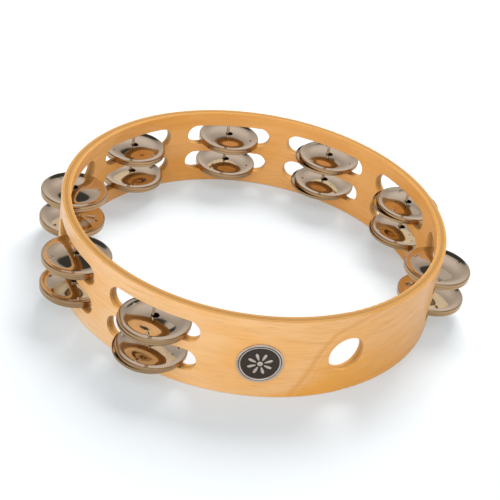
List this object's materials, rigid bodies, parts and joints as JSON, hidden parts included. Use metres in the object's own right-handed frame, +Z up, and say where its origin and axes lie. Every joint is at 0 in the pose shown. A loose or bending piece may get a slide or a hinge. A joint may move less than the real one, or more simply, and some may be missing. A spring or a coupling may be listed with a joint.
{
  "type": "tambourine",
  "caption": "Headless wooden hand tambourine: a bent-ply hoop with two rows of slots, loose paired metal jingles on steel pins, a thumb hole and a round badge.",
  "frame": {"origin": "centre of the hoop, on the plane its lower rim stands on", "axes": "+Z up along the hoop's axis, -Y out through the middle of the thumb hole, +X to the right seen from that side"},
  "size_m": [0.2923, 0.2672, 0.0571],
  "materials": {
    "outer_veneer": "satin lacquer",
    "core_veneer": "satin lacquer",
    "inner_veneer": "satin lacquer",
    "jingle_nickel": "polished nickel",
    "pin_steel": "drawn wire",
    "badge_metal": "polished, dark enamel field"
  },
  "bodies": {
    "frame": {"outer_ply": "outer_veneer", "middle_ply": "core_veneer", "inner_ply": "inner_veneer", "jingle_pins": "pin_steel", "badge": "badge_metal"},
    "jingle_1_lower_bottom": {"jingle_1_lower_bottom": "jingle_nickel"},
    "jingle_1_lower_top": {"jingle_1_lower_top": "jingle_nickel"},
    "jingle_1_upper_bottom": {"jingle_1_upper_bottom": "jingle_nickel"},
    "jingle_1_upper_top": {"jingle_1_upper_top": "jingle_nickel"},
    "jingle_2_lower_bottom": {"jingle_2_lower_bottom": "jingle_nickel"},
    "jingle_2_lower_top": {"jingle_2_lower_top": "jingle_nickel"},
    "jingle_2_upper_bottom": {"jingle_2_upper_bottom": "jingle_nickel"},
    "jingle_2_upper_top": {"jingle_2_upper_top": "jingle_nickel"},
    "jingle_3_lower_bottom": {"jingle_3_lower_bottom": "jingle_nickel"},
    "jingle_3_lower_top": {"jingle_3_lower_top": "jingle_nickel"},
    "jingle_3_upper_bottom": {"jingle_3_upper_bottom": "jingle_nickel"},
    "jingle_3_upper_top": {"jingle_3_upper_top": "jingle_nickel"},
    "jingle_4_lower_bottom": {"jingle_4_lower_bottom": "jingle_nickel"},
    "jingle_4_lower_top": {"jingle_4_lower_top": "jingle_nickel"},
    "jingle_4_upper_bottom": {"jingle_4_upper_bottom": "jingle_nickel"},
    "jingle_4_upper_top": {"jingle_4_upper_top": "jingle_nickel"},
    "jingle_5_lower_bottom": {"jingle_5_lower_bottom": "jingle_nickel"},
    "jingle_5_lower_top": {"jingle_5_lower_top": "jingle_nickel"},
    "jingle_5_upper_bottom": {"jingle_5_upper_bottom": "jingle_nickel"},
    "jingle_5_upper_top": {"jingle_5_upper_top": "jingle_nickel"},
    "jingle_6_lower_bottom": {"jingle_6_lower_bottom": "jingle_nickel"},
    "jingle_6_lower_top": {"jingle_6_lower_top": "jingle_nickel"},
    "jingle_6_upper_bottom": {"jingle_6_upper_bottom": "jingle_nickel"},
    "jingle_6_upper_top": {"jingle_6_upper_top": "jingle_nickel"},
    "jingle_7_lower_bottom": {"jingle_7_lower_bottom": "jingle_nickel"},
    "jingle_7_lower_top": {"jingle_7_lower_top": "jingle_nickel"},
    "jingle_7_upper_bottom": {"jingle_7_upper_bottom": "jingle_nickel"},
    "jingle_7_upper_top": {"jingle_7_upper_top": "jingle_nickel"},
    "jingle_8_lower_bottom": {"jingle_8_lower_bottom": "jingle_nickel"},
    "jingle_8_lower_top": {"jingle_8_lower_top": "jingle_nickel"},
    "jingle_8_upper_bottom": {"jingle_8_upper_bottom": "jingle_nickel"},
    "jingle_8_upper_top": {"jingle_8_upper_top": "jingle_nickel"}
  },
  "joints": [
    {"name": "rattle_1_lower_bottom", "type": "slide", "parent": "frame", "child": "jingle_1_lower_bottom", "axis": [0, 0, 1], "range_m": [0, 0.00385]},
    {"name": "rattle_1_lower_top", "type": "slide", "parent": "jingle_1_lower_bottom", "child": "jingle_1_lower_top", "axis": [0, 0, 1], "range_m": [0, 0.00385]},
    {"name": "rattle_1_upper_bottom", "type": "slide", "parent": "frame", "child": "jingle_1_upper_bottom", "axis": [0, 0, 1], "range_m": [0, 0.00385]},
    {"name": "rattle_1_upper_top", "type": "slide", "parent": "jingle_1_upper_bottom", "child": "jingle_1_upper_top", "axis": [0, 0, 1], "range_m": [0, 0.00385]},
    {"name": "rattle_2_lower_bottom", "type": "slide", "parent": "frame", "child": "jingle_2_lower_bottom", "axis": [0, 0, 1], "range_m": [0, 0.00385]},
    {"name": "rattle_2_lower_top", "type": "slide", "parent": "jingle_2_lower_bottom", "child": "jingle_2_lower_top", "axis": [0, 0, 1], "range_m": [0, 0.00385]},
    {"name": "rattle_2_upper_bottom", "type": "slide", "parent": "frame", "child": "jingle_2_upper_bottom", "axis": [0, 0, 1], "range_m": [0, 0.00385]},
    {"name": "rattle_2_upper_top", "type": "slide", "parent": "jingle_2_upper_bottom", "child": "jingle_2_upper_top", "axis": [0, 0, 1], "range_m": [0, 0.00385]},
    {"name": "rattle_3_lower_bottom", "type": "slide", "parent": "frame", "child": "jingle_3_lower_bottom", "axis": [0, 0, 1], "range_m": [0, 0.00385]},
    {"name": "rattle_3_lower_top", "type": "slide", "parent": "jingle_3_lower_bottom", "child": "jingle_3_lower_top", "axis": [0, 0, 1], "range_m": [0, 0.00385]},
    {"name": "rattle_3_upper_bottom", "type": "slide", "parent": "frame", "child": "jingle_3_upper_bottom", "axis": [0, 0, 1], "range_m": [0, 0.00385]},
    {"name": "rattle_3_upper_top", "type": "slide", "parent": "jingle_3_upper_bottom", "child": "jingle_3_upper_top", "axis": [0, 0, 1], "range_m": [0, 0.00385]},
    {"name": "rattle_4_lower_bottom", "type": "slide", "parent": "frame", "child": "jingle_4_lower_bottom", "axis": [0, 0, 1], "range_m": [0, 0.00385]},
    {"name": "rattle_4_lower_top", "type": "slide", "parent": "jingle_4_lower_bottom", "child": "jingle_4_lower_top", "axis": [0, 0, 1], "range_m": [0, 0.00385]},
    {"name": "rattle_4_upper_bottom", "type": "slide", "parent": "frame", "child": "jingle_4_upper_bottom", "axis": [0, 0, 1], "range_m": [0, 0.00385]},
    {"name": "rattle_4_upper_top", "type": "slide", "parent": "jingle_4_upper_bottom", "child": "jingle_4_upper_top", "axis": [0, 0, 1], "range_m": [0, 0.00385]},
    {"name": "rattle_5_lower_bottom", "type": "slide", "parent": "frame", "child": "jingle_5_lower_bottom", "axis": [0, 0, 1], "range_m": [0, 0.00385]},
    {"name": "rattle_5_lower_top", "type": "slide", "parent": "jingle_5_lower_bottom", "child": "jingle_5_lower_top", "axis": [0, 0, 1], "range_m": [0, 0.00385]},
    {"name": "rattle_5_upper_bottom", "type": "slide", "parent": "frame", "child": "jingle_5_upper_bottom", "axis": [0, 0, 1], "range_m": [0, 0.00385]},
    {"name": "rattle_5_upper_top", "type": "slide", "parent": "jingle_5_upper_bottom", "child": "jingle_5_upper_top", "axis": [0, 0, 1], "range_m": [0, 0.00385]},
    {"name": "rattle_6_lower_bottom", "type": "slide", "parent": "frame", "child": "jingle_6_lower_bottom", "axis": [0, 0, 1], "range_m": [0, 0.00385]},
    {"name": "rattle_6_lower_top", "type": "slide", "parent": "jingle_6_lower_bottom", "child": "jingle_6_lower_top", "axis": [0, 0, 1], "range_m": [0, 0.00385]},
    {"name": "rattle_6_upper_bottom", "type": "slide", "parent": "frame", "child": "jingle_6_upper_bottom", "axis": [0, 0, 1], "range_m": [0, 0.00385]},
    {"name": "rattle_6_upper_top", "type": "slide", "parent": "jingle_6_upper_bottom", "child": "jingle_6_upper_top", "axis": [0, 0, 1], "range_m": [0, 0.00385]},
    {"name": "rattle_7_lower_bottom", "type": "slide", "parent": "frame", "child": "jingle_7_lower_bottom", "axis": [0, 0, 1], "range_m": [0, 0.00385]},
    {"name": "rattle_7_lower_top", "type": "slide", "parent": "jingle_7_lower_bottom", "child": "jingle_7_lower_top", "axis": [0, 0, 1], "range_m": [0, 0.00385]},
    {"name": "rattle_7_upper_bottom", "type": "slide", "parent": "frame", "child": "jingle_7_upper_bottom", "axis": [0, 0, 1], "range_m": [0, 0.00385]},
    {"name": "rattle_7_upper_top", "type": "slide", "parent": "jingle_7_upper_bottom", "child": "jingle_7_upper_top", "axis": [0, 0, 1], "range_m": [0, 0.00385]},
    {"name": "rattle_8_lower_bottom", "type": "slide", "parent": "frame", "child": "jingle_8_lower_bottom", "axis": [0, 0, 1], "range_m": [0, 0.00385]},
    {"name": "rattle_8_lower_top", "type": "slide", "parent": "jingle_8_lower_bottom", "child": "jingle_8_lower_top", "axis": [0, 0, 1], "range_m": [0, 0.00385]},
    {"name": "rattle_8_upper_bottom", "type": "slide", "parent": "frame", "child": "jingle_8_upper_bottom", "axis": [0, 0, 1], "range_m": [0, 0.00385]},
    {"name": "rattle_8_upper_top", "type": "slide", "parent": "jingle_8_upper_bottom", "child": "jingle_8_upper_top", "axis": [0, 0, 1], "range_m": [0, 0.00385]}
  ]
}
